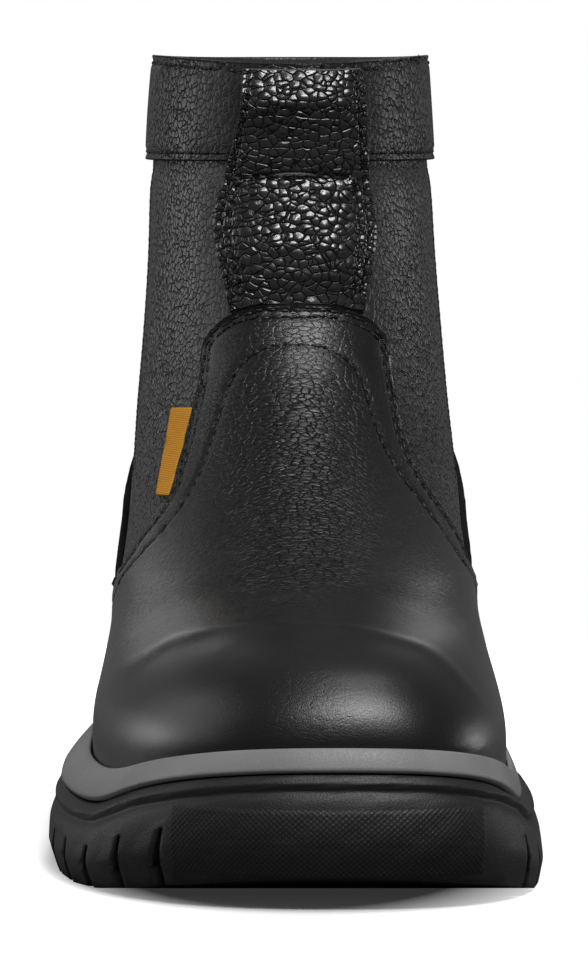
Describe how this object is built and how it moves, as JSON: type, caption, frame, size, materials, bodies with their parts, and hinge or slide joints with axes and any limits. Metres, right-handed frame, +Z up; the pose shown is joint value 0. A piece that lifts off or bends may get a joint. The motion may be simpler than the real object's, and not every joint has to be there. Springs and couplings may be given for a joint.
{
  "type": "safety boot",
  "caption": "Ankle-high pull-on safety boot for the right foot: black leather with a broad capped toe, front strap and collar band, on a grey midsole and a black lugged cup sole.",
  "frame": {"origin": "on the floor, under the middle of the boot's overall length and width", "axes": "+Z up, -Y towards the toe and +Y towards the heel, -X the outer side of the foot and +X the inner side"},
  "size_m": [0.115, 0.306, 0.1897],
  "materials": {
    "leather": "black tumbled leather, satin",
    "strap_leather": "black coarse-grained leather, semi-gloss",
    "outsole_rubber": "black, matte and finely stippled",
    "midsole_foam": "mid-grey moulded foam, satin",
    "footbed": "dark cloth",
    "tag_cloth": "orange woven cloth, bare"
  },
  "bodies": {
    "root": {"outsole": "outsole_rubber", "midsole": "midsole_foam", "insole": "footbed", "upper": "leather", "vamp": "leather", "heel_counter": "leather", "collar_band": "leather", "front_strap": "strap_leather", "side_tag": "tag_cloth"}
  },
  "joints": []
}
